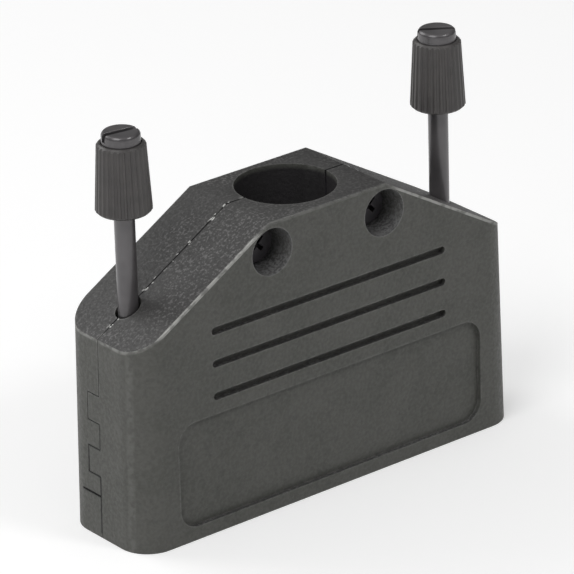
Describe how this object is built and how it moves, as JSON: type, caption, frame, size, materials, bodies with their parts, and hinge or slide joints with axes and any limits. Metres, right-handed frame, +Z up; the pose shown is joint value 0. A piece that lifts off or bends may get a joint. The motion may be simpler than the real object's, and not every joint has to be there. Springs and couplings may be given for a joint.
{
  "type": "d-sub hood",
  "caption": "Two-part moulded hood for a 25-way D-sub connector with captive fluted thumbscrews, a straight cable outlet and a clamp-bar strain relief inside.",
  "frame": {"origin": "centre of the mouth, on the parting plane, at the level of the mouth rim on which the hood stands", "axes": "+X along the width, to the right seen from the front; +Y from the front face to the rear; +Z up, from the mouth to the cable outlet"},
  "size_m": [0.0576, 0.0149, 0.05],
  "materials": {
    "hood_plastic": "fine matt spark-eroded texture",
    "knob_plastic": "satin, finely fluted",
    "blackened_steel": "dark, turned, semi-gloss",
    "zinc_steel": "bright zinc",
    "clamp_plastic": "matt"
  },
  "bodies": {
    "hood": {"front_shell": "hood_plastic", "rear_shell": "hood_plastic", "left_assembly_screw": "blackened_steel", "right_assembly_screw": "blackened_steel", "left_assembly_nut": "zinc_steel", "right_assembly_nut": "zinc_steel", "front_clamp": "clamp_plastic", "rear_clamp": "clamp_plastic", "left_clamp_screw": "zinc_steel", "right_clamp_screw": "zinc_steel", "left_clamp_nut": "zinc_steel", "right_clamp_nut": "zinc_steel"},
    "left_clip": {"left_retainer": "zinc_steel"},
    "left_thumbscrew": {"left_screw": "blackened_steel", "left_knob": "knob_plastic"},
    "right_clip": {"right_retainer": "zinc_steel"},
    "right_thumbscrew": {"right_screw": "blackened_steel", "right_knob": "knob_plastic"}
  },
  "joints": [
    {"name": "left_clip_travel", "type": "slide", "parent": "hood", "child": "left_clip", "axis": [0, 0, 1], "range_m": [-0.006, 0.002]},
    {"name": "left_screw_turn", "type": "hinge", "parent": "left_clip", "child": "left_thumbscrew", "pos_m": [-0.02352, 0, 0.01035], "axis": [0, 0, 1], "continuous": true},
    {"name": "right_clip_travel", "type": "slide", "parent": "hood", "child": "right_clip", "axis": [0, 0, 1], "range_m": [-0.006, 0.002]},
    {"name": "right_screw_turn", "type": "hinge", "parent": "right_clip", "child": "right_thumbscrew", "pos_m": [0.02352, 0, 0.01035], "axis": [0, 0, 1], "continuous": true}
  ]
}
